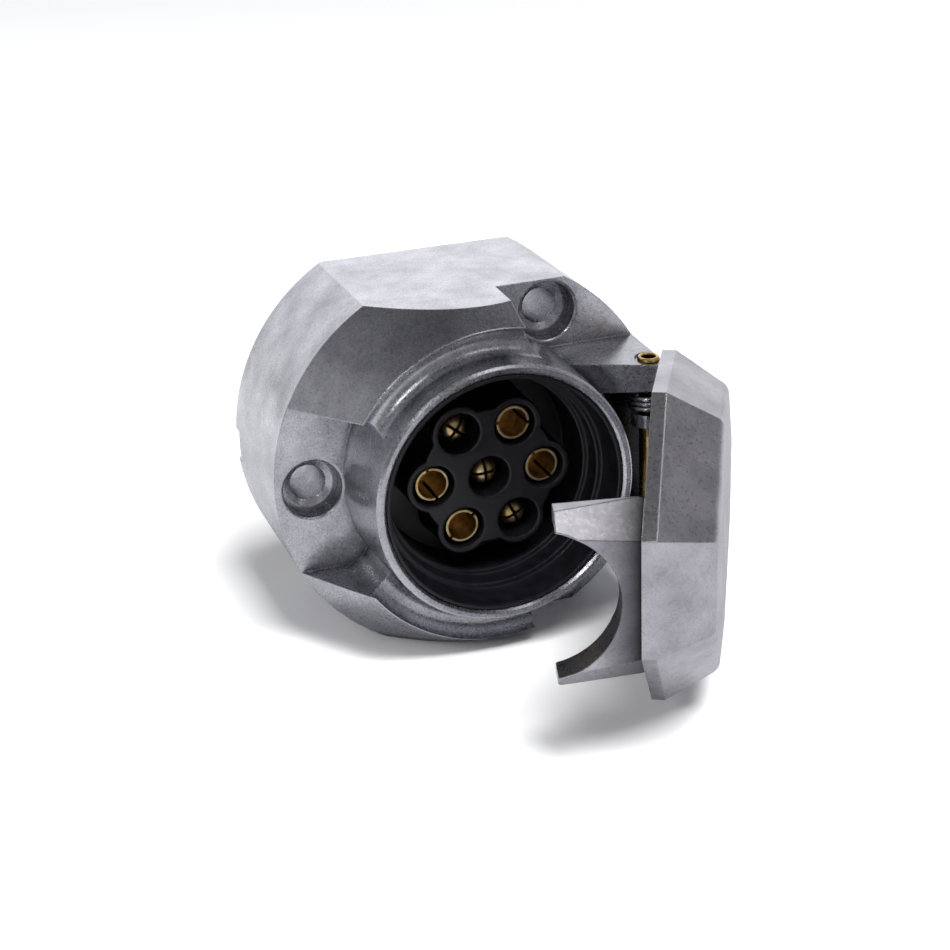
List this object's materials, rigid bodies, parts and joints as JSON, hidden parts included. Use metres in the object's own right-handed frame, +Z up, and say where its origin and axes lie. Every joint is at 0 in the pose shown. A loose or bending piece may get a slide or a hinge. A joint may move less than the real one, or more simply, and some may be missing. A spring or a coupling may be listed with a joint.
{
  "type": "trailer socket",
  "caption": "Cast vehicle-side socket for a trailer plug: brass contacts in a black insulator inside a round collar, and a hinged octagonal lid with a retaining fork.",
  "frame": {"origin": "centre of the mounting circle on the rear mounting face", "axes": "the socket faces -Y, +X points to the hinge and +Z is up, along the hinge axis, with the socket lying on its lower flat"},
  "size_m": [0.0751, 0.0921, 0.0636],
  "materials": {
    "cast_housing": "blasted casting",
    "cast_lid": "blasted casting",
    "moulded_insulator": "semi-gloss",
    "contact_brass": "turned",
    "rivet_brass": "satin",
    "plated_screw": "zinc plated",
    "spring_steel": "drawn wire",
    "seal_rubber": "matte"
  },
  "bodies": {
    "socket": {"housing": "cast_housing", "contact_carrier": "moulded_insulator", "contact_sleeve_1": "contact_brass", "contact_sleeve_2": "contact_brass", "contact_sleeve_3": "contact_brass", "contact_sleeve_4": "contact_brass", "contact_pin_1": "contact_brass", "contact_pin_2": "contact_brass", "contact_pin_3": "contact_brass", "terminal_screw_1": "plated_screw", "terminal_screw_2": "plated_screw", "terminal_screw_3": "plated_screw", "terminal_screw_4": "plated_screw", "terminal_screw_5": "plated_screw", "terminal_screw_6": "plated_screw", "terminal_screw_7": "plated_screw", "carrier_screw_1": "plated_screw", "carrier_screw_2": "plated_screw", "carrier_screw_3": "plated_screw", "hinge_pin": "rivet_brass", "lid_spring": "spring_steel"},
    "lid": {"lid": "cast_lid", "lid_seal": "seal_rubber"}
  },
  "joints": [
    {"name": "lid_hinge", "type": "hinge", "parent": "socket", "child": "lid", "pos_m": [0.03, -0.0382, 0], "axis": [0, 0, 1], "range_deg": [-59.7, 50]}
  ]
}
